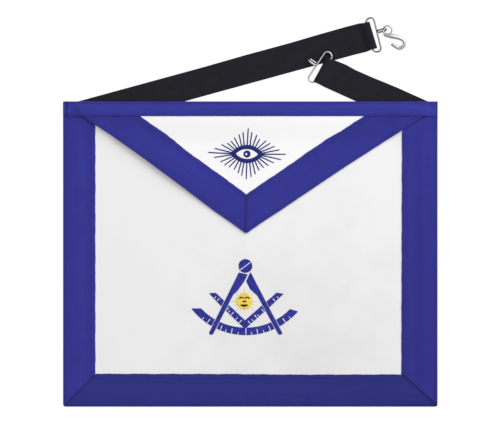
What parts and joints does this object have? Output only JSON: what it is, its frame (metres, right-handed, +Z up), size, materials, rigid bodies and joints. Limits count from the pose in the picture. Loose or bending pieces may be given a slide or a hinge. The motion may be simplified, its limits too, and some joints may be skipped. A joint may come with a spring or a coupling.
{
  "type": "masonic apron",
  "caption": "White leather lodge apron with blue ribbon borders, an embroidered triangular flap, and black webbing straps with wire frames and a snake hook, lying flat.",
  "frame": {"origin": "middle of the footprint, on the surface the apron lies on", "axes": "+Z up from the surface, +Y towards the straps, +X to the right as seen from above"},
  "size_m": [0.406, 0.4224, 0.0081],
  "materials": {
    "white_leather": "grained, soft sheen",
    "blue_ribbon": "woven ribbon, matt with a faint sheen",
    "black_webbing": "plain woven webbing, matt",
    "bright_steel": "plated wire, bright",
    "satin_metal": "cast, satin plating",
    "navy_thread": "satin-stitched thread",
    "blue_thread": "satin-stitched thread",
    "yellow_thread": "satin-stitched thread"
  },
  "bodies": {
    "apron": {"apron_panel": "white_leather", "border_left": "blue_ribbon", "border_right": "blue_ribbon", "border_bottom": "blue_ribbon", "flap_panel": "white_leather", "flap_border_left": "blue_ribbon", "flap_border_right": "blue_ribbon", "top_band": "blue_ribbon", "strap_left": "black_webbing", "strap_right": "black_webbing", "eye_and_rays": "navy_thread", "eye_iris": "navy_thread", "craft_emblem": "blue_thread", "sun_emblem": "yellow_thread"},
    "left_loop": {"wire_frame_left": "bright_steel", "snake_hook": "satin_metal"},
    "right_loop": {"wire_frame_right": "bright_steel"}
  },
  "joints": [
    {"name": "left_frame_hinge", "type": "hinge", "parent": "apron", "child": "left_loop", "pos_m": [0.12868, 0.19064, 0.0033], "axis": [0.2402, -0.9707, 0], "range_deg": [0, 150]},
    {"name": "right_frame_hinge", "type": "hinge", "parent": "apron", "child": "right_loop", "pos_m": [0.07977, 0.15417, 0.00454], "axis": [0.5548, 0.832, 0], "range_deg": [0, 150]}
  ]
}
